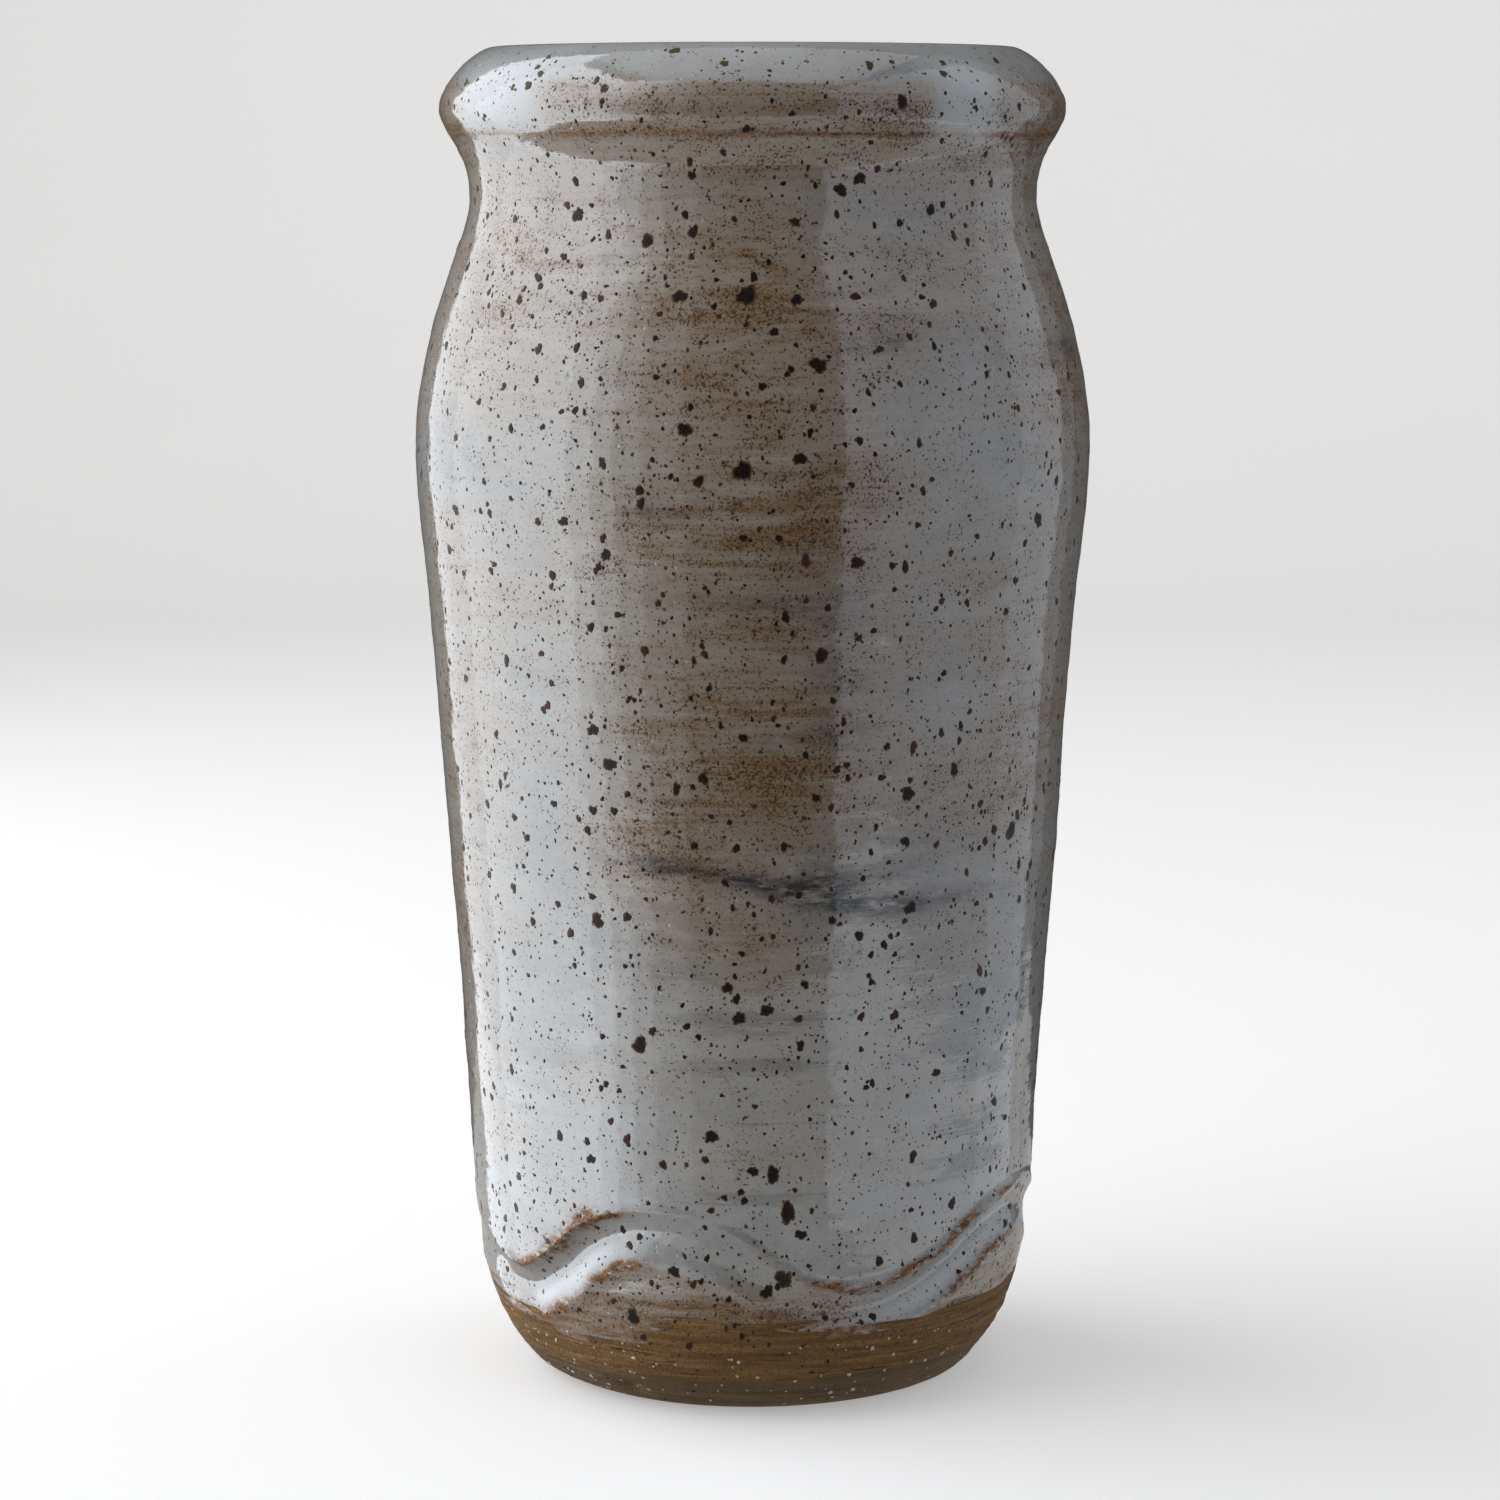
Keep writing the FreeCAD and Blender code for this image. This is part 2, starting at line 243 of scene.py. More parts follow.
def noise(seed, azimuth, height, around, pitch):
    """Smooth random values from -1 to 1, periodic in azimuth: cells around the pot, cell pitch in height."""
    rows = int(HEIGHT * 1.3 / pitch) + 4
    grid = np.random.default_rng(seed).uniform(-1, 1, (rows, around))
    u = np.mod(azimuth / 360, 1) * around
    w = np.clip(height / pitch + 1, 0, rows - 2.001)
    i, j = np.floor(w).astype(int), np.floor(u).astype(int) % around
    fw, fu = w - np.floor(w), u - np.floor(u)
    fw, fu = fw * fw * (3 - 2 * fw), fu * fu * (3 - 2 * fu)
    k = (j + 1) % around
    low = grid[i, j] * (1 - fu) + grid[i, k] * fu
    high = grid[i + 1, j] * (1 - fu) + grid[i + 1, k] * fu
    return low * (1 - fw) + high * fw


class Outline:
    """A smooth curve through (radius, height) points, by length along it, with its normal."""

    def __init__(self, points):
        p = np.array(points, float)
        chord = np.concatenate([[0], np.cumsum(np.hypot(*np.diff(p, axis=0).T))])
        n = len(p)
        h = np.diff(chord)
        system = np.eye(n)
        right = np.zeros((n, 2))
        for k in range(1, n - 1):
            system[k, k - 1], system[k, k], system[k, k + 1] = h[k - 1], 2 * (h[k - 1] + h[k]), h[k]
            right[k] = 6 * ((p[k + 1] - p[k]) / h[k] - (p[k] - p[k - 1]) / h[k - 1])
        bend = np.linalg.solve(system, right)
        t = np.linspace(0, chord[-1], 6000)
        k = np.clip(np.searchsorted(chord, t, side="right") - 1, 0, n - 2)
        a, b = (chord[k + 1] - t)[:, None], (t - chord[k])[:, None]
        hk = h[k][:, None]
        self.points = (
            bend[k] * a**3 / (6 * hk) + bend[k + 1] * b**3 / (6 * hk)
            + (p[k] / hk - bend[k] * hk / 6) * a + (p[k + 1] / hk - bend[k + 1] * hk / 6) * b
        )
        self.lengths = np.concatenate([[0], np.cumsum(np.hypot(*np.diff(self.points, axis=0).T))])
        tangent = np.gradient(self.points, self.lengths, axis=0)
        tangent /= np.hypot(*tangent.T)[:, None]
        self.normals = np.stack([tangent[:, 1], -tangent[:, 0]], axis=1)
        self.crest = self.lengths[np.argmax(self.points[:, 1])]

    def at(self, length):
        """Radius, height and the outward normal's two parts at a length along the outline."""
        columns = [self.points[:, 0], self.points[:, 1], self.normals[:, 0], self.normals[:, 1]]
        return [np.interp(length, self.lengths, c) for c in columns]

    def outside_length(self, height):
        """The length along the outside at a height."""
        outside = self.lengths <= self.crest
        return np.interp(height, self.points[outside, 1], self.lengths[outside])

    def inside_length(self, height):
        """The length down the inside at a height."""
        inside = self.lengths >= self.crest
        return np.interp(-height, -self.points[inside, 1], self.lengths[inside])


pot = Outline(OUTSIDE + [CREST] + INSIDE)


def groove(azimuth, height):
    """How far up from the groove's middle a point is, square to it, and the groove's depth there."""
    middle = around_table(GROOVE_LINE, azimuth)
    slope = (around_table(GROOVE_LINE, azimuth + 1) - around_table(GROOVE_LINE, azimuth - 1)) / 2
    per_degree = HEEL_RADIUS * math.pi / 180
    across = (height - middle) / np.sqrt(1 + (slope / per_degree) ** 2)
    return across, around_table(GROOVE_DEPTHS, azimuth)


def above_ridge(azimuth, height):
    """How far above the fine ridge at the bottom of the lip a point is."""
    return height - RIDGE_HEIGHT - 0.3 * noise(7, azimuth, height, 6, 20)


def layers(table, azimuth, height):
    """The sum of a table's noise layers."""
    total = 0.0
    for seed, around, pitch, depth in table:
        total = total + depth * noise(seed, azimuth, height, around, pitch)
    return total


def bell(x, width):
    """1 at 0, falling away smoothly over a width."""
    return np.exp(-((x / width) ** 2))


def relief(azimuth, height):
    """How far the real surface stands off the outline, outwards, on the outside of the pot."""
    lip = smooth(*LIP_BAND, height)
    waves = layers(RING_LAYERS, azimuth, height) + layers(DENT_LAYERS, azimuth, height)
    lines = layers(LIP_LINE_LAYERS, azimuth, height) * lip * smooth(*LIP_LINES_END, height)
    ridge = RIDGE_RISE * bell(above_ridge(azimuth, height), 0.45)
    out = waves * (1 - 0.6 * lip) + lines + ridge

    across, depth = groove(azimuth, height)
    skew = across - GROOVE_SKEW
    above, below = smooth(GROOVE_HALF_WIDTH, 0.0, skew), smooth(-GROOVE_HALF_WIDTH - 0.8, 0.0, skew)
    out = out - GROOVE_SHARE * depth * np.where(skew > 0, above, below)
    rim_noise = 1 + 0.5 * noise(8, azimuth, height, 40, 3.0)
    out = out + UPPER_RIM_SHARE * depth * rim_noise * bell(across - GROOVE_HALF_WIDTH - 0.2, 0.7)
    out = out + LOWER_RIM_SHARE * depth * bell(across + GROOVE_HALF_WIDTH + 0.5, 1.1)

    out = out + layers(DRAG_LAYERS, azimuth, height) * smooth(*CLAY_BAND, height) * smooth(*EDGE_BAND, height)
    bevel = smooth(*BEVEL_BAND, height) * (0.25 * noise(12, azimuth, height, 18, 5) - 0.1)
    turn = turn_from(CHIP_AZIMUTH, azimuth)
    chip = CHIP_DEPTH * bell(turn, 3.2) * bell(height - CHIP_HEIGHT, 1.0)
    step = CHIP_STEP * smooth(-3, 1, turn) * smooth(40, 6, turn) * bell(height - 1.6, 1.1)
    return (out + bevel - chip - step) * smooth(*CONTACT_BAND, height)


def thinness(azimuth, height, streak, cloud):
    """How thin the glaze is, from the table of thin places and over the lip."""
    thin = 0.14 + 0.16 * cloud + 0.10 * noise(24, azimuth, height, 30, 5.0)
    for centre, level, half_width, half_height, strength in THIN_PLACES:
        turn = turn_from(centre, azimuth)
        far = (turn / half_width) ** 2 + ((height - level) / half_height) ** 2
        thin = thin + 0.75 * strength * np.exp(-far * (1.0 + 0.35 * cloud)) * (1 + 0.25 * streak)
    under_lip = bell(height - UNDER_LIP_HEIGHT, 4.2) * (0.5 + 0.3 * cloud)
    lip_face = smooth(*FACE_START, height) * smooth(*FACE_END, height)
    lip_lines = lip_face * (0.50 + 0.75 * np.abs(noise(25, azimuth, height, 3, 0.6)) ** 1.5)
    thin = thin + under_lip + lip_lines * (0.8 + 0.3 * noise(26, azimuth, height, 10, 8))
    return thin * smooth(*CREST_BAND, height)


def smeared(azimuth, height):
    """How much blue-grey there is, from the table of smears."""
    smear = 0.0
    for centre, level, half_width, half_height, slope, strength in SMEARS:
        turn = turn_from(centre, azimuth)
        off = height - level - slope * turn + 0.6 * noise(27, azimuth, height, 30, 6)
        far = (turn / half_width) ** 2 + (off / half_height) ** 2
        smear = smear + strength * np.exp(-far) * (0.75 + 0.5 * noise(28, azimuth, height, 60, 1.0))
    return np.clip(smear, 0, 1)


def thickened(azimuth, height, cloud):
    """How far the glaze is thick and white, from the table of thick places."""
    thick = 0.0
    for centre, level, half_width, half_height in THICK_PLACES:
        turn = turn_from(centre, azimuth) + 3 * cloud
        thick = thick + np.exp(-((turn / half_width) ** 4) - ((height - level) / half_height) ** 4)
    return thick


def coverage(azimuth, height):
    """The glaze's masks at each place: thin, smear, rust, then clear of glaze, untoasted, and white, which is
    pooled glaze and, along the groove's lower bank, a painted highlight.
    """
    streak = layers(STREAK_LAYERS, azimuth, height)
    cloud = noise(23, azimuth, height, 12, 9.0)
    thick = thickened(azimuth, height, cloud)
    thin = thinness(azimuth, height, streak, cloud) * (1 - 0.9 * thick)

    across, depth = groove(azimuth, height)
    wide = GROOVE_HALF_WIDTH
    below_wave = smooth(-wide - 0.2, -wide - 1.8, across) * smooth(*WAVE_BAND, height)
    thin = np.clip(thin + below_wave * (0.75 + 0.7 * streak), 0, 1.2)

    # Rust along both rims of the groove, the ridge of the lip and the end of the glaze.
    ragged = layers(RAGGED_LAYERS, azimuth, height)
    upper_width = 0.6 + 0.65 * smooth(1.35, 1.55, depth)
    upper = bell(across - wide - 0.3 + ragged, upper_width) * smooth(0.5, 1.3, depth)
    lower = bell(across + wide + 0.35 + ragged, 0.75) * smooth(0.4, 1.0, depth)
    broken = np.clip(0.9 + 0.6 * noise(31, azimuth, height, 46, 2.4), 0, 1)
    lip_ridge = bell(above_ridge(azimuth, height), 0.3)
    lip_ridge = lip_ridge * (0.8 + 0.6 * noise(35, azimuth, height, 14, 20))
    end = around_table(GLAZE_END, azimuth)
    shreds = layers(SHRED_LAYERS, azimuth, height) + 0.5
    hem = bell(height - end - 0.9 + shreds, 0.8) * (0.5 + 0.5 * streak)
    rust = np.clip((1.2 * upper + 1.1 * lower) * broken + lip_ridge * (1 - thick) + hem, 0, 1)

    bare = smooth(1.0, -0.9, height - end + shreds)
    wiped = below_wave * smooth(6.0, 0.5, height - end) * np.clip(0.5 + 0.9 * streak, 0, 1)
    bare = np.clip(bare + 0.9 * wiped, 0, 1)
    plain = smooth(TOAST_END + 1.2, TOAST_END - 1.0, height + 1.1 * noise(34, azimuth, height, 7, 1.2))

    # White: pooled glaze near the crest and at the thick places; along the groove's lower bank the white is a
    # painted highlight.
    pooled_and_highlight = bell(across + 1.3, 1.1) * smooth(1.05, 1.4, depth) + 0.25 * smooth(*CREST_POOL, height)
    pooled_and_highlight = pooled_and_highlight + 0.75 * thick
    return thin, smeared(azimuth, height), rust, bare, plain, np.clip(pooled_and_highlight, 0, 1)


def place(azimuth, length, lift):
    """Frame positions for azimuths and lengths along the outline, lifted off it along its normal."""
    radius, height, out, up = pot.at(length)
    radius = radius + lift * out
    height = height + lift * up
    angle = np.radians(azimuth)
    return np.stack([radius * np.sin(angle), -radius * np.cos(angle), height], axis=-1) * MM


def add_mesh(name, vertices, faces, unwrap=None, masks=None):
    """A smooth-shaded mesh object; masks become two colour attributes, unwrap its texture map."""
    mesh = bpy.data.meshes.new(name)
    mesh.vertices.add(len(vertices))
    mesh.vertices.foreach_set("co", np.asarray(vertices, np.float32).ravel())
    sizes = np.array([len(f) for f in faces], np.int32)
    mesh.loops.add(int(sizes.sum()))
    mesh.loops.foreach_set("vertex_index", np.concatenate([np.asarray(f, np.int32) for f in faces]))
    mesh.polygons.add(len(faces))
    mesh.polygons.foreach_set("loop_start", np.concatenate([[0], np.cumsum(sizes)[:-1]]).astype(np.int32))
    mesh.update(calc_edges=True)
    mesh.validate()
    mesh.shade_smooth()
    if masks is not None:
        for label, three in (("Cover", masks[:3]), ("Clear", masks[3:6])):
            layer = mesh.color_attributes.new(label, "FLOAT_COLOR", "POINT")
            rgba = np.ones((len(vertices), 4), np.float32)
            rgba[:, :3] = np.stack(three, axis=-1)
            layer.data.foreach_set("color", rgba.ravel())
    if unwrap is not None:
        mesh.uv_layers.new(name="OFBake").data.foreach_set("uv", unwrap.astype(np.float32).ravel())
    piece = bpy.data.objects.new(name, mesh)
    bpy.context.scene.collection.objects.link(piece)
    return piece


def wrapped(count):
    """Faces and texture map over a number of rings of vertices, the last ring joined to the first."""
    i, j = np.meshgrid(np.arange(count), np.arange(COLUMNS), indexing="ij")
    i, j = i.ravel(), j.ravel()
    up, beside = (i + 1) % count, (j + 1) % COLUMNS
    faces = np.stack([i * COLUMNS + j, i * COLUMNS + beside, up * COLUMNS + beside, up * COLUMNS + j], axis=1)
    v = np.linspace(0.004, 0.996, count + 1)
    u = np.arange(COLUMNS + 1) / COLUMNS
    corners = [(j, i), (j + 1, i), (j + 1, i + 1), (j, i + 1)]
    unwrap = np.stack([np.stack([u[a], v[b]], axis=-1) for a, b in corners], axis=1)
    return faces, unwrap.reshape(-1, 2)


def lathe(rows, lift_rows):
    """A turned skin: one ring of vertices per row; lift_rows gives each row's lift at every azimuth."""
    turn, length = grid_of(rows)
    vertices = place(turn, length, lift_rows).reshape(-1, 3)
    return vertices, turn.ravel(), length.ravel()


def steps(start, end, pitch):
    """Evenly spaced lengths from start to end, about a pitch apart, without the end."""
    return np.linspace(start, end, max(2, int(abs(end - start) / pitch)), endpoint=False)


def outer_lift(azimuth, length):
    """The relief at lengths along the outline, fading out over the crest."""
    radius, height, out, up = pot.at(length)
    return relief(azimuth, height) * smooth(pot.crest + 2, pot.crest - 3, length)


def grid_of(rows):
    """Azimuth and length at every vertex of a turned skin."""
    return np.meshgrid(np.arange(COLUMNS) * 360.0 / COLUMNS + 180.0, rows)


# --- Glaze outside -------------------------------------------------------------------------------

at = pot.outside_length
coat_start = at(COAT_END)
lap = pot.inside_length(COAT_LAP)
groove_end, neck, lip = at(GROOVE_END), at(NECK_HEIGHT), at(LIP_START)
over_crest = pot.crest + CREST_RUN
shown = np.concatenate([
    steps(coat_start, groove_end, FINE_PITCH),
    steps(groove_end, neck, BODY_PITCH),
    steps(neck, over_crest, FINE_PITCH),
    steps(over_crest, lap, LAP_PITCH),
])
hidden = np.concatenate([
    steps(lap, over_crest, 2.0),
    steps(over_crest, lip, 2.2),
    steps(lip, groove_end, 7.0),
    steps(groove_end, coat_start, 1.0),
])
turn, length = grid_of(shown)
tucked = smooth(coat_start + 0.8, coat_start, length) + smooth(lap - 1.0, lap, length)
shown_lift = outer_lift(turn, length) - TUCK * tucked
turn, length = grid_of(hidden)
taper = smooth(coat_start, coat_start + 1.5, length) * smooth(lap, lap - 1.5, length)
hidden_lift = outer_lift(turn, length) - COAT_THICKNESS * taper - TUCK - COAT_GAP
vertices, turns, lengths = lathe(np.concatenate([shown, hidden]), np.concatenate([shown_lift, hidden_lift]))
outside_masks = coverage(turns, pot.at(lengths)[1])
glaze_outside = add_mesh("glaze_outside", vertices, *wrapped(len(shown) + len(hidden)), outside_masks)

# --- Clay ----------------------------------------------------------------------------------------

throat = pot.inside_length(THROAT_HEIGHT)
clay_rows = np.concatenate([
    steps(0.0, coat_start, CLAY_PITCH),
    steps(coat_start, groove_end, 0.8),
    steps(groove_end, lip, 6.0),
    steps(lip, pot.crest, 2.5),
    steps(pot.crest, throat, 4.0),
    steps(throat, pot.lengths[-1], 8.0),
])
turn, length = grid_of(clay_rows)
covered = smooth(coat_start + 0.5, coat_start + 1.6, length)
clay_lift = outer_lift(turn, length) - (COAT_THICKNESS + 0.2) * covered
vertices, turns, lengths = lathe(clay_rows, clay_lift)
masks = list(coverage(turns, pot.at(lengths)[1]))

# The underside closes the mesh: from the floor's middle out over the recess to the contact ring.
under = np.array(RECESS, float)
angle = np.radians(np.arange(COLUMNS) * 360.0 / COLUMNS + 180.0)
under_noise = 0.1 * np.random.default_rng(SEED).uniform(-1, 1, len(under))
rings = []
for (radius, level), wobble in zip(under, under_noise):
    level = level if level < 0.1 else level + wobble
    ring = np.stack([radius * np.sin(angle), -radius * np.cos(angle), np.full(COLUMNS, level)], axis=-1)
    rings.append(ring * MM)
vertices = np.concatenate([vertices, np.concatenate(rings)])
for k, value in enumerate((0.0, 0.0, 0.0, 1.0, 1.0, 0.0)):
    masks[k] = np.concatenate([masks[k], np.full(len(rings) * COLUMNS, value)])
thrown_clay = add_mesh("thrown_clay", vertices, *wrapped(len(clay_rows) + len(rings)), masks)

# --- Glaze inside --------------------------------------------------------------------------------

liner_start = pot.inside_length(COAT_LAP + LINER_RISE)
liner_rows = steps(liner_start, pot.lengths[-1], LINER_PITCH)
turn, length = grid_of(liner_rows)
level = pot.at(length)[1]
spiral = 0.16 * np.sin(level * 2 * math.pi / 7.5 + np.radians(turn)) * smooth(160, 150, level)
tucked = smooth(liner_start + 1.2, liner_start, length)
liner_lift = spiral + 0.05 * noise(41, turn, level, 9, 2.0) * smooth(163, 158, level) - 0.03 - TUCK * tucked
back_rows = steps(pot.lengths[-1] - 0.01, liner_start, 5.0)
turn, length = grid_of(back_rows)
back_lift = np.full(turn.shape, -0.5)
vertices, turns, lengths = lathe(
    np.concatenate([liner_rows, back_rows]), np.concatenate([liner_lift, back_lift])
)
level = pot.at(lengths)[1]
inside_thin = 0.35 + 0.3 * noise(42, turns, level, 9, 5.0) + 0.2 * noise(43, turns, level, 5, 1.2)
none = np.zeros(len(turns))
inside_masks = (np.clip(inside_thin, 0, 1), none, none, none, none, 0.4 * smooth(14, 9, level))
glaze_inside = add_mesh("glaze_inside", vertices, *wrapped(len(liner_rows) + len(back_rows)), inside_masks)


# --- Iron spots and grog -------------------------------------------------------------------------

def blobs(name, places, sides, rings, tints, height_of, ragged, seed, sink=0.1):
    """Low irregular domes on the outside; each ring is a share of the radius and of the height."""
    rng = np.random.default_rng(seed)
    points, polygons, colours = [], [], []
    for (azimuth, level, radius), tint in zip(places, tints):
        base = len(points)
        phase = rng.uniform(0, 2 * math.pi)
        run = rng.uniform(0.85, 1.4)
        wave = np.arange(sides) * 2 * math.pi / sides
        outline = 1 + 0.5 * ragged * rng.uniform(-1, 1, sides)
        outline += 0.6 * ragged * np.cos(2 * wave + phase) + 0.4 * ragged * np.cos(3 * wave - 2 * phase)
        outline += 0.3 * ragged * np.cos(5 * wave + 3 * phase)
        top = height_of(radius)
        middle = float(pot.outside_length(level))
        here = pot.at(middle)[0]
        spots = [(0.0, 0.0, top * rng.uniform(0.7, 1.0), 0.0)]
        for share, lift in rings:
            for k in range(sides):
                reach = radius * share * outline[k]
                bump = top * lift * (1 + 0.5 * rng.uniform(-1, 1) * (lift > 0.1))
                spots.append((reach * math.cos(wave[k]), reach * math.sin(wave[k]), bump, share))
        last = radius * 1.03
        for k in range(sides):
            reach = last * outline[k]
            spots.append((reach * math.cos(wave[k]), reach * math.sin(wave[k]), -sink, 1.0))
        for across, along, lift, share in spots:
            points.append((azimuth + math.degrees(across / here), middle + along * run, lift))
            colours.append((*tint, share))
        for k in range(sides):
            polygons.append((base, base + 1 + k, base + 1 + (k + 1) % sides))
        for ring in range(len(rings)):
            a, b = base + 1 + ring * sides, base + 1 + (ring + 1) * sides
            for k in range(sides):
                n = (k + 1) % sides
                polygons.append((a + k, b + k, b + n, a + n))
    points = np.array(points)
    lift = outer_lift(points[:, 0], points[:, 1]) + points[:, 2]
    piece = add_mesh(name, place(points[:, 0], points[:, 1], lift), polygons)
    layer = piece.data.color_attributes.new("Tint", "FLOAT_COLOR", "POINT")
    layer.data.foreach_set("color", np.array(colours, np.float32).ravel())
    return piece


BLACK_TINT = (0.012, 0.007, 0.005)
RUSTY_TINT = (0.042, 0.018, 0.007)
MAROON_TINT = (0.055, 0.016, 0.014)
OLIVE_TINT = (0.060, 0.048, 0.018)
OLIVE_ABOVE = 169
GROG_TINT = (0.62, 0.56, 0.47)


def tints_for(count, seed, levels, rusty=0.4):
    """A colour for each spot: mostly near black, a share rusty, a few maroon, olive near the crest."""
    rng = np.random.default_rng(seed)
    out = []
    for k in range(count):
        pick = rng.uniform()
        shade = rng.uniform(0.7, 1.35)
        base = BLACK_TINT
        if pick > 1 - rusty:
            base = RUSTY_TINT
        if pick > 1 - rusty / 4:
            base = MAROON_TINT
        if levels[k] > OLIVE_ABOVE:
            base = OLIVE_TINT
        out.append(tuple(shade * c for c in base))
    return out


def scatter(count, seed, sizes, low, high, keep_off=(), front_share=1.0, peppered=0.0):
    """Seeded places over the outside, clear of the ones in keep_off and denser where the glaze is thin."""
    rng = np.random.default_rng(seed)
    tries = 4 * count + 200
    azimuth = rng.uniform(-180, 180, tries)
    level = rng.uniform(low, high, tries)
    radius = sizes[0] + (sizes[1] - sizes[0]) * rng.uniform(0, 1, tries) ** 2.2
    chance = 1 - peppered + peppered * np.clip(coverage(azimuth, level)[0], 0, 1)
    chance = np.where(np.abs(azimuth) < 75, front_share * chance, chance)
    kept = rng.uniform(0, 1, tries) < chance
    for other_azimuth, other_level, other_radius in keep_off:
        turn = turn_from(other_azimuth, azimuth)
        kept &= np.hypot(turn * 0.72, level - other_level) > (radius + other_radius) * 1.15
    return list(zip(azimuth[kept][:count], level[kept][:count], radius[kept][:count]))


behind = scatter(LARGE_SPOTS_BEHIND, SEED + 1, LARGE_RADII, *LARGE_HEIGHTS, FRONT_SPOTS, front_share=0.0)
large = FRONT_SPOTS + behind
medium = scatter(MEDIUM_SPOTS, SEED + 2, MEDIUM_RADII, *MEDIUM_HEIGHTS, large, peppered=0.35)
small = scatter(SMALL_SPOTS, SEED + 3, SMALL_RADII, *SMALL_HEIGHTS, peppered=0.55)
iron_spots = blobs(
    "melted_iron", large, 26, [(0.3, 0.9), (0.55, 1.0), (0.78, 0.8), (0.95, 0.3)],
    tints_for(len(large), SEED + 4, [p[1] for p in large], 0.12), lambda r: 0.03 + 0.025 * r, 0.26, SEED + 5,
)
iron_specks = blobs(
    "iron_specks", medium, 13, [(0.6, 0.8), (0.96, 0.3)],
    tints_for(len(medium), SEED + 6, [p[1] for p in medium]), lambda r: 0.02 + 0.03 * r, 0.26, SEED + 7,
)
iron_dust = blobs(
    "iron_dust", small, 6, [(0.95, 0.5)],
    tints_for(len(small), SEED + 8, [p[1] for p in small]), lambda r: 0.018, 0.3, SEED + 9,
)
grain_places = scatter(GRAINS, SEED + 10, GRAIN_RADII, *GRAIN_HEIGHTS)
grain_tints = [GROG_TINT] * len(grain_places)
grog_grains = blobs("grog_grains", grain_places, 7, [(0.85, 0.6)], grain_tints, lambda r: 0.05, 0.2, SEED + 11)


# --- Materials -----------------------------------------------------------------------------------

class Nodes:
    """Short ways to add and join shader nodes."""

    def __init__(self, name):
        self.material = bpy.data.materials.new(name)
        self.material.use_nodes = True
        self.tree = self.material.node_tree
        self.shader = self.tree.nodes["Principled BSDF"]

    def add(self, kind, **settings):
        node = self.tree.nodes.new(kind)
        for key, value in settings.items():
            setattr(node, key, value)
        return node

    def put(self, value, socket):
        if isinstance(value, bpy.types.NodeSocket):
            self.tree.links.new(value, socket)
        else:
            socket.default_value = value

    def math(self, operation, a, b, clamp=False):
        node = self.add("ShaderNodeMath", operation=operation, use_clamp=clamp)
        self.put(a, node.inputs[0])
        self.put(b, node.inputs[1])
        return node.outputs[0]

    def plus(self, a, b):
        return self.math("ADD", a, b)

    def minus(self, a, b):
        return self.math("SUBTRACT", a, b)

    def times(self, a, b, clamp=False):
        return self.math("MULTIPLY", a, b, clamp)

    def most(self, a, b):
        return self.math("MAXIMUM", a, b)

    def step(self, low, high, value):
        node = self.add("ShaderNodeMapRange", interpolation_type="SMOOTHSTEP")
        self.put(value, node.inputs["Value"])
        self.put(low, node.inputs["From Min"])
        self.put(high, node.inputs["From Max"])
        return node.outputs[0]

    def mix(self, share, a, b, blend="MIX"):
        node = self.add("ShaderNodeMix", data_type="RGBA", blend_type=blend)
        self.put(share, node.inputs[0])
        self.put(a if not isinstance(a, tuple) else (*a, 1), node.inputs[6])
        self.put(b if not isinstance(b, tuple) else (*b, 1), node.inputs[7])
        return node.outputs[2]

    def where(self, stretch=(1, 1, 1)):
        """Object position in millimetres, stretched."""
        spot = self.add("ShaderNodeTexCoord").outputs["Object"]
        node = self.add("ShaderNodeMapping")
        self.put(spot, node.inputs["Vector"])
        node.inputs["Scale"].default_value = tuple(s / MM for s in stretch)
        return node.outputs[0]

    def noise(self, size, detail=3.0, rough=0.55, stretch=(1, 1, 1), warp=0.0):
        """Noise from 0 to 1 with features of a size in millimetres."""
        node = self.add("ShaderNodeTexNoise")
        self.put(self.where(stretch), node.inputs["Vector"])
        node.inputs["Scale"].default_value = 1 / size
        node.inputs["Detail"].default_value = detail
        node.inputs["Roughness"].default_value = rough
        node.inputs["Distortion"].default_value = warp
        return node.outputs[0]

    def specks(self, cell, radius, soft, ragged, spread=0.0):
        """1 inside round specks: cell pitch, radius, edge width and spread of radius in millimetres."""
        bend = self.add("ShaderNodeTexNoise")
        spot = self.where()
        self.put(spot, bend.inputs["Vector"])
        bend.inputs["Scale"].default_value = 2.2
        shift = self.add("ShaderNodeVectorMath", operation="SUBTRACT")
        self.put(bend.outputs["Color"], shift.inputs[0])
        shift.inputs[1].default_value = (0.5, 0.5, 0.5)
        scaled = self.add("ShaderNodeVectorMath", operation="SCALE")
        self.put(shift.outputs[0], scaled.inputs[0])
        scaled.inputs["Scale"].default_value = ragged
        moved = self.add("ShaderNodeVectorMath", operation="ADD")
        self.put(spot, moved.inputs[0])
        self.put(scaled.outputs[0], moved.inputs[1])
        cells = self.add("ShaderNodeTexVoronoi")
        self.put(moved.outputs[0], cells.inputs["Vector"])
        cells.inputs["Scale"].default_value = 1 / cell
        size = self.add("ShaderNodeSeparateColor")
        self.put(cells.outputs["Color"], size.inputs[0])
        reach = self.math("MULTIPLY", size.outputs[0], spread / cell)
        reach = self.math("ADD", reach, cells.outputs["Distance"])
        return self.step((radius + soft) / cell, (radius - soft) / cell, reach)

    def attribute(self, name):
        node = self.add("ShaderNodeAttribute", attribute_name=name)
        parts = self.add("ShaderNodeSeparateColor")
        self.put(node.outputs["Color"], parts.inputs[0])
        return parts.outputs[0], parts.outputs[1], parts.outputs[2], node.outputs["Alpha"]

    def bump(self, height, depth, strength=1.0, under=None):
        node = self.add("ShaderNodeBump")
        node.inputs["Strength"].default_value = strength
        node.inputs["Distance"].default_value = depth * MM
        self.put(height, node.inputs["Height"])
        if under is not None:
            self.put(under, node.inputs["Normal"])
        return node.outputs[0]


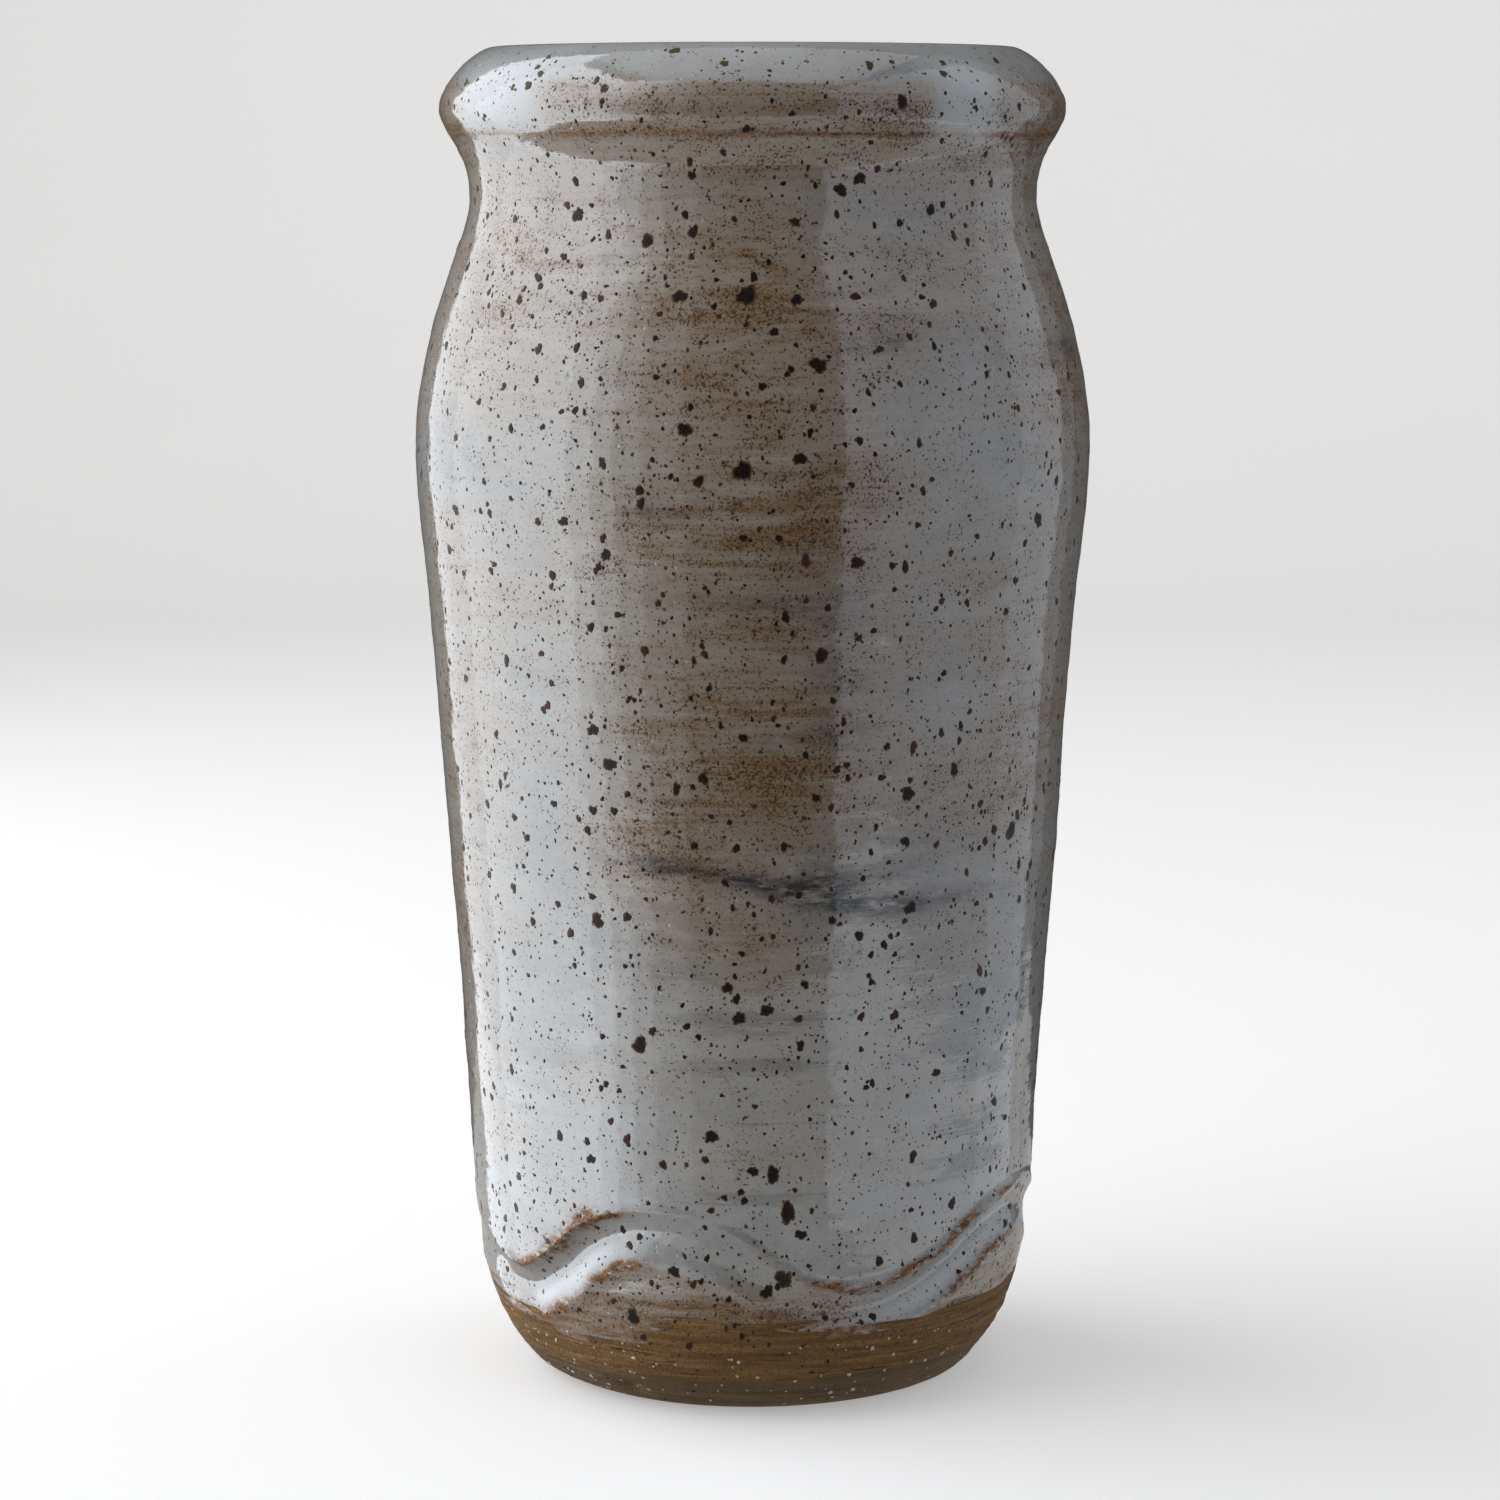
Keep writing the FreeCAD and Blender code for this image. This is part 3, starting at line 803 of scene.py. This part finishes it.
# Colours as linear red, green and blue.
GREY_GLAZE = (0.335, 0.33, 0.315)
WHITE_GLAZE = (0.40, 0.40, 0.39)
BEIGE_GLAZE = (0.405, 0.357, 0.298)
BROWN_GLAZE = (0.28, 0.178, 0.102)
TOFFEE = (0.24, 0.11, 0.038)
BLUE_GLAZE = (0.038, 0.042, 0.050)
# Whiter glaze where it pools thick; along the groove's lower bank it serves as a painted highlight.
POOLED_GLAZE_AND_HIGHLIGHT = (0.60, 0.605, 0.60)
DEEP_RUST = (0.10, 0.036, 0.009)
BRIGHT_RUST = (0.32, 0.130, 0.026)
PEPPER = (0.075, 0.036, 0.015)
GOLDEN = (0.26, 0.115, 0.036)
HALO = (0.17, 0.085, 0.034)
BLACK_IRON = (0.016, 0.011, 0.009)
BROWN_IRON = (0.070, 0.030, 0.014)
DARK_TOAST = (0.200, 0.100, 0.033)
LIGHT_TOAST = (0.38, 0.220, 0.085)
TOAST_LINES = (0.055, 0.025, 0.009)
TOAST_GRIT = (0.11, 0.060, 0.026)
DARK_CLAY = (0.145, 0.090, 0.046)
LIGHT_CLAY = (0.23, 0.152, 0.080)
CLAY_GRIT = (0.09, 0.054, 0.028)
CLAY_SPECK = (0.025, 0.015, 0.010)
PALE_GRIT = (0.62, 0.54, 0.42)
OCHRE_STAIN = (0.25, 0.112, 0.028)
MELT_BROWN = (0.045, 0.020, 0.009)
MELT_EDGE = (0.20, 0.105, 0.040)
DARK_GROG = (0.42, 0.36, 0.28)
LIGHT_GROG = (0.78, 0.73, 0.64)
DARK_PAPER = (0.82, 0.79, 0.76)
LIGHT_PAPER = (0.84, 0.81, 0.78)

GLAZE_IOR = 1.6
IRON_IOR = 1.5
CLAY_ROUGHNESS = 0.72


def stoneware_material(name):
    """Glaze over clay, by the masks on the mesh: clear of glaze shows toasted or plain clay."""
    n = Nodes(name)
    thin, smear, rust, _ = n.attribute("Cover")
    bare, plain, pooled_and_highlight, _ = n.attribute("Clear")

    # Glaze colour: off-white, washed with brown where it is thin, smeared with blue-grey, white where thick and in
    # the groove, where the white is a painted highlight on the lower bank.
    clouds = n.noise(9.0, 4.0, 0.6, (1, 1, 1.6), 0.6)
    streaks = n.noise(7.0, 5.0, 0.62, (0.5, 0.5, 1.9), 0.8)
    grit = n.noise(0.5, 4.0, 0.7)
    brown = n.times(thin, n.plus(0.35, n.step(0.25, 0.75, streaks)))
    brown = n.plus(brown, n.times(n.minus(grit, 0.5), 0.9))
    threads = n.minus(n.noise(0.8, 2.0, 0.5, (0.04, 0.04, 1.3)), 0.5)
    brown = n.plus(brown, n.times(n.times(threads, thin), 1.1))
    brown = n.times(brown, 0.85, clamp=True)
    white = n.mix(n.step(0.35, 0.7, clouds), GREY_GLAZE, WHITE_GLAZE)
    beige = n.step(0.08, 0.55, n.plus(thin, n.times(n.minus(clouds, 0.5), 0.5)))
    white = n.mix(n.times(beige, 0.9), white, BEIGE_GLAZE)
    glaze = n.mix(brown, white, BROWN_GLAZE)
    patches = n.step(0.5, 0.7, n.noise(1.1, 4.0, 0.7, (0.5, 0.5, 1.5)))
    toffee = n.times(n.step(0.5, 0.95, brown), patches)
    glaze = n.mix(n.times(toffee, 0.7), glaze, TOFFEE)
    blue = n.times(smear, n.step(0.25, 0.6, n.noise(1.2, 4.0, 0.65, (0.5, 0.5, 1.8))))
    glaze = n.mix(n.times(blue, 1.1, clamp=True), glaze, BLUE_GLAZE)
    # White where the glaze pools thick, and a painted highlight along the groove's lower bank.
    glaze = n.mix(n.times(pooled_and_highlight, 0.8), glaze, POOLED_GLAZE_AND_HIGHLIGHT)

    # Rusty edges where the glaze runs thin over a ridge.
    breaks = n.step(0.32, 0.58, n.noise(0.9, 5.0, 0.7, (0.7, 0.7, 1.4)))
    rusty = n.times(n.times(rust, breaks), 1.5, clamp=True)
    rust_colour = n.mix(n.step(0.35, 0.65, n.noise(0.6, 3.0)), DEEP_RUST, BRIGHT_RUST)
    glaze = n.mix(rusty, glaze, rust_colour)

    # Iron pepper, denser where the glaze is thin, and rounder specks with rusty halos.
    few = n.minus(0.67, n.times(brown, 0.16))
    few = n.minus(few, n.times(n.minus(n.noise(4.0, 3.0), 0.5), 0.25))
    pepper = n.step(few, n.plus(few, 0.05), n.noise(0.33, 2.0, 0.6))
    glaze = n.mix(n.times(pepper, 0.85), glaze, PEPPER)
    strokes = n.step(0.55, 0.66, n.noise(0.9, 4.0, 0.7, (0.4, 0.4, 1.3)))
    golden = n.times(strokes, n.step(0.25, 0.8, brown))
    glaze = n.mix(n.times(golden, 0.75), glaze, GOLDEN)
    halo = n.specks(2.1, 0.46, 0.18, 0.6, 0.5)
    halo = n.times(halo, n.plus(0.2, n.times(brown, 0.5)))
    glaze = n.mix(halo, glaze, HALO)
    dark = n.mix(n.step(0.35, 0.65, n.noise(1.7, 2.0)), BLACK_IRON, BROWN_IRON)
    dots = n.specks(0.9, 0.22, 0.04, 0.6, 0.24)
    grains = n.specks(2.1, 0.30, 0.05, 0.6, 0.5)
    iron = n.most(dots, grains)
    glaze = n.mix(n.times(iron, 0.95), glaze, dark)

    # Clay.
    drag = n.noise(1.5, 5.0, 0.65, (0.12, 0.12, 2.2), 0.3)
    toast = n.mix(n.step(0.3, 0.72, drag), DARK_TOAST, LIGHT_TOAST)
    toast = n.mix(n.step(0.57, 0.66, n.noise(1.1, 5.0, 0.7, (0.1, 0.1, 2.0))), toast, TOAST_LINES)
    toast = n.mix(n.times(n.step(0.46, 0.66, n.noise(0.42, 4.0, 0.7)), 0.75), toast, TOAST_GRIT)
    raw = n.mix(n.step(0.3, 0.7, drag), DARK_CLAY, LIGHT_CLAY)
    raw = n.mix(n.times(n.step(0.5, 0.75, n.noise(0.5, 4.0)), 0.45), raw, CLAY_GRIT)
    clay = n.mix(plain, toast, raw)
    clay = n.mix(n.specks(1.9, 0.28, 0.05, 0.4, 0.3), clay, CLAY_SPECK)
    clay = n.mix(n.times(n.specks(0.9, 0.12, 0.03, 0.2, 0.16), 0.45), clay, PALE_GRIT)
    shreds = n.plus(bare, n.times(n.minus(drag, 0.5), 1.1))
    uncovered = n.step(0.36, 0.62, shreds)
    stain = n.times(n.step(-0.1, 0.3, shreds), n.step(0.0, 0.2, bare))
    stain = n.times(stain, n.step(0.36, 0.6, n.noise(0.7, 4.0, 0.7, (0.35, 0.35, 1.6))))
    glaze = n.mix(n.times(stain, 0.85), glaze, OCHRE_STAIN)
    n.put(n.mix(uncovered, glaze, clay), n.shader.inputs["Base Color"])

    # Gloss: iron and rust break the shine, clay has almost none.
    matt = n.most(n.times(iron, 0.85), n.times(rusty, 0.8))
    matt = n.most(matt, n.times(pepper, 0.55))
    matt = n.most(matt, n.times(blue, 0.3))
    matt = n.most(matt, n.times(stain, 0.7))
    matt = n.most(matt, n.times(uncovered, 0.88))
    n.put(n.minus(1.0, matt), n.shader.inputs["Specular IOR Level"])
    glaze_rough = n.plus(0.02, n.times(brown, 0.04))
    glaze_rough = n.plus(glaze_rough, n.times(n.noise(3.0, 3.0), 0.025))
    glaze_rough = n.plus(glaze_rough, n.times(n.most(rusty, iron), 0.3))
    rough = n.add("ShaderNodeMix")
    n.put(uncovered, rough.inputs[0])
    n.put(glaze_rough, rough.inputs[2])
    rough.inputs[3].default_value = CLAY_ROUGHNESS
    n.put(rough.outputs[0], n.shader.inputs["Roughness"])
    n.shader.inputs["IOR"].default_value = GLAZE_IOR

    # Relief too fine for the mesh.
    peel = n.bump(n.noise(2.8, 1.5, 0.5), 0.055)
    pits = n.bump(n.specks(2.6, 0.20, 0.10, 0.2), -0.05, 0.8, peel)
    sandy = n.bump(n.noise(0.5, 3.0, 0.6), 0.007, 1.0, pits)
    lines = n.bump(n.noise(0.8, 3.0, 0.6, (0.06, 0.06, 1.0)), 0.018, 1.0, sandy)
    depth = n.times(uncovered, n.plus(drag, n.times(n.noise(0.35, 4.0, 0.7), 1.1)))
    n.put(n.bump(depth, 0.3, 1.0, lines), n.shader.inputs["Normal"])
    return n.material


def iron_material():
    """Melted iron: near black with a rusty edge, pitted."""
    n = Nodes("iron_melt")
    red, green, blue, reach = n.attribute("Tint")
    colour = n.add("ShaderNodeCombineColor")
    for part, socket in zip((red, green, blue), colour.inputs):
        n.put(part, socket)
    mottle = n.noise(0.5, 4.0, 0.65)
    base = n.mix(n.step(0.5, 0.8, mottle), colour.outputs[0], MELT_BROWN)
    worn = n.plus(reach, n.times(n.minus(mottle, 0.5), 0.5))
    edge = n.times(n.step(0.66, 0.98, worn), 0.85)
    n.put(n.mix(edge, base, MELT_EDGE), n.shader.inputs["Base Color"])
    n.put(n.plus(0.1, n.times(mottle, 0.4)), n.shader.inputs["Roughness"])
    n.shader.inputs["IOR"].default_value = IRON_IOR
    n.shader.inputs["Specular IOR Level"].default_value = 0.2
    n.put(n.bump(n.noise(0.3, 3.0, 0.6), 0.08), n.shader.inputs["Normal"])
    return n.material


def grog_material():
    """Pale grains of fired grit in the clay."""
    n = Nodes("pale_grog")
    shade = n.noise(0.7, 3.0)
    n.put(n.mix(shade, DARK_GROG, LIGHT_GROG), n.shader.inputs["Base Color"])
    n.put(n.plus(0.45, n.times(shade, 0.3)), n.shader.inputs["Roughness"])
    n.put(n.bump(n.noise(0.2, 2.0), 0.02), n.shader.inputs["Normal"])
    return n.material


glaze_finish = stoneware_material("speckled_glaze")
clay_finish = stoneware_material("toasted_stoneware")
iron_finish = iron_material()
grog_finish = grog_material()
for piece, finish, slot in (
    (glaze_outside, glaze_finish, "glaze"),
    (glaze_inside, glaze_finish, "glaze"),
    (thrown_clay, clay_finish, "stoneware"),
    (iron_spots, iron_finish, "iron"),
    (iron_specks, iron_finish, "iron"),
    (iron_dust, iron_finish, "iron"),
    (grog_grains, grog_finish, "stoneware"),
):
    piece.data.materials.append(finish)
    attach(piece, "root")
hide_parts("outer_glaze")
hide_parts("liner_glaze")
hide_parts("stoneware_body")
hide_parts("iron_spots")

# --- Stage, light and camera ---------------------------------------------------------------------

# The paper sweep, in metres: its flat, its bend and its top, and how far it reaches to each side.
SWEEP_FRONT = -2.4
SWEEP_BACK = 0.9
SWEEP_BEND = 0.6
SWEEP_TOP = 2.6
SWEEP_SIDE = 3.0
BEND_STEPS = 24
PAPER_ROUGHNESS = 0.9
PAPER_GLOW = 0.34

profile = [(SWEEP_FRONT, 0.0), (SWEEP_BACK, 0.0)]
for k in range(1, BEND_STEPS + 1):
    bend = math.pi / 2 * k / BEND_STEPS
    profile.append((SWEEP_BACK + SWEEP_BEND * math.sin(bend), SWEEP_BEND * (1 - math.cos(bend))))
profile.append((SWEEP_BACK + SWEEP_BEND, SWEEP_TOP))
floor_z = cad_low.z
sweep_points = [(side, y, floor_z + z) for y, z in profile for side in (-SWEEP_SIDE, SWEEP_SIDE)]
sweep_faces = [(2 * k, 2 * k + 1, 2 * k + 3, 2 * k + 2) for k in range(len(profile) - 1)]
floor = add_mesh("floor_sweep", sweep_points, sweep_faces)
paper = Nodes("pale_paper")
paper_colour = paper.mix(paper.noise(60.0, 2.0), DARK_PAPER, LIGHT_PAPER)
paper.put(paper_colour, paper.shader.inputs["Base Color"])
paper.shader.inputs["Roughness"].default_value = PAPER_ROUGHNESS
paper.shader.inputs["Emission Color"].default_value = (1.0, 1.0, 1.0, 1.0)
paper.shader.inputs["Emission Strength"].default_value = PAPER_GLOW
floor.data.materials.append(paper.material)
floor.visible_glossy = False
floor.visible_diffuse = False


def softbox(name, azimuth, distance, width, tall, centre_z, radiance, colour):
    """A flat rectangular light facing the pot's axis, with a radiance rather than a power."""
    data = bpy.data.lights.new(name, "AREA")
    data.shape = "RECTANGLE"
    data.size, data.size_y = width, tall
    data.energy = radiance * math.pi * width * tall
    data.color = colour
    light = bpy.data.objects.new(name, data)
    turn = math.radians(azimuth)
    light.location = (distance * math.sin(turn), -distance * math.cos(turn), centre_z)
    light.rotation_euler = Vector((-math.sin(turn), math.cos(turn), 0)).to_track_quat("-Z", "Y").to_euler()
    light.visible_camera = False
    bpy.context.scene.collection.objects.link(light)
    return light


# Lights: distances in metres, colours linear, the last number of each wall its radiance.
WALL_DISTANCE = 0.7
WALL_TALL = 1.6
WALL_CENTRE = 0.45
COOL = (0.87, 0.93, 1.0)
COOLER = (0.76, 0.86, 1.0)
COOL_EDGE = (0.80, 0.88, 1.0)
WARM = (1.0, 0.98, 0.96)
WARM_FLOOR = (1.0, 0.98, 0.95)
NEUTRAL = (1.0, 1.0, 1.0)
OVERHEAD = {"height": 1.5, "side": 1.4, "radiance": 0.5}
FLOOR_GLOW = {"height": -0.06, "side": 0.7, "radiance": 0.45}
FLOOR_BOUNCE = {"height": 0.0005, "side": 1.6, "radiance": 0.17}
SKY_STRENGTH = 0.07


def flat_light(name, height, side, radiance, colour, faces_up):
    """A level square light on the pot's axis."""
    light = softbox(name, 0, 0.0, side, side, height, radiance, colour)
    light.rotation_euler = (math.pi if faces_up else 0.0, 0.0, 0.0)
    return light


def light_wall(name, start, end, radiance, colour):
    """A tall softbox seen from the pot between two azimuths."""
    width = 2 * WALL_DISTANCE * math.tan(math.radians(end - start) / 2)
    softbox(name, (start + end) / 2, WALL_DISTANCE, width, WALL_TALL, WALL_CENTRE, radiance, colour)


# The left wall of light fades towards the camera, so its reflection has a soft edge.
LEFT_WALL = [
    (-140, -118, 2.0), (-118, -64, 2.5), (-64, -54, 2.0), (-54, -46, 1.3), (-46, -37, 0.7),
    (-37, -23, 0.28), (-23, -8, 0.05),
]
for k, (start, end, radiance) in enumerate(LEFT_WALL):
    light_wall(f"wall_left_{k}", start, end, radiance, COOL)
light_wall("wall_right", 30, 127, 0.5, COOLER)
light_wall("wall_right_far", 100, 138, 0.17, COOL_EDGE)
flat_light("softbox_overhead", **OVERHEAD, colour=WARM, faces_up=False)

# The floor isn't seen in reflections or bounced light: these two do that work, at strengths of their own.
glow = flat_light("floor_glow", **FLOOR_GLOW, colour=WARM_FLOOR, faces_up=True)
glow.visible_diffuse = False
bounce = flat_light("floor_bounce", **FLOOR_BOUNCE, colour=WARM_FLOOR, faces_up=True)
bounce.visible_glossy = False

world = bpy.data.worlds.new("studio")
bpy.context.scene.world = world
world.use_nodes = True
sky = world.node_tree.nodes["Background"]
sky.inputs["Color"].default_value = (*WARM, 1)
sky.inputs["Strength"].default_value = SKY_STRENGTH

backlight = softbox("background_light", 180, 0.5, 2.4, 0.8, 1.9, 2.0, NEUTRAL)
backlight.rotation_euler = Vector((0, 1.0, -0.75)).to_track_quat("-Z", "Y").to_euler()
backlight.visible_glossy = False

# The camera, solved from the photo's outline: distances from the axis and the floor in millimetres, and
# the tilt below level in degrees.
CAMERA_DISTANCE = 568.5
CAMERA_HEIGHT = 162.8
CAMERA_TILT = 8.03
SENSOR_WIDTH = 36.0
FOCAL_LENGTH = 103.4
CAMERA_SHIFT = -0.0017

camera_data = bpy.data.cameras.new("camera")
camera_data.sensor_width = SENSOR_WIDTH
camera_data.lens = FOCAL_LENGTH
camera_data.shift_x = CAMERA_SHIFT
camera = bpy.data.objects.new("camera", camera_data)
camera.location = (0.0, -CAMERA_DISTANCE * MM, floor_z + CAMERA_HEIGHT * MM)
camera.rotation_euler = (math.radians(90 - CAMERA_TILT), 0.0, 0.0)
bpy.context.scene.collection.objects.link(camera)
bpy.context.scene.camera = camera
bpy.context.scene.view_settings.view_transform = "Standard"
